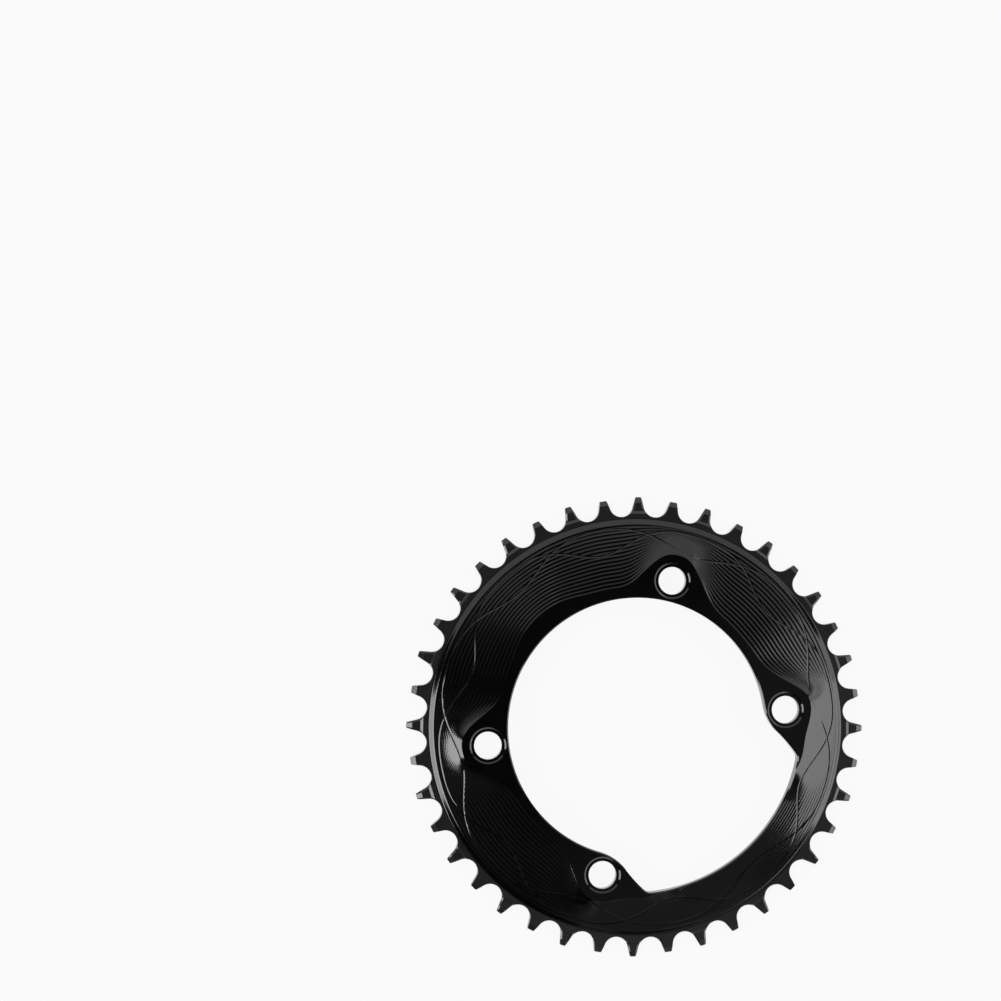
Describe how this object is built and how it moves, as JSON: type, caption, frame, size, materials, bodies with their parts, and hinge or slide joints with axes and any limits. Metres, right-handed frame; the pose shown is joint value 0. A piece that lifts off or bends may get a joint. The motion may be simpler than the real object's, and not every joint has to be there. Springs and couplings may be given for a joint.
{
  "type": "bicycle chainring",
  "caption": "Black one-piece bicycle chainring: alternating narrow and wide teeth, a dished rippled web and bolt tabs around an open middle.",
  "frame": {"origin": "centre of the ring on its axis, at the back face of the tooth plate", "axes": "+Z along the axis out of the rippled outer face; +Y from the axis to the middle of the wide land, away from the open side"},
  "size_m": [0.1674, 0.1674, 0.0075],
  "materials": {
    "anodised": "satin black anodised"
  },
  "bodies": {
    "root": {"chainring": "anodised"}
  },
  "joints": []
}
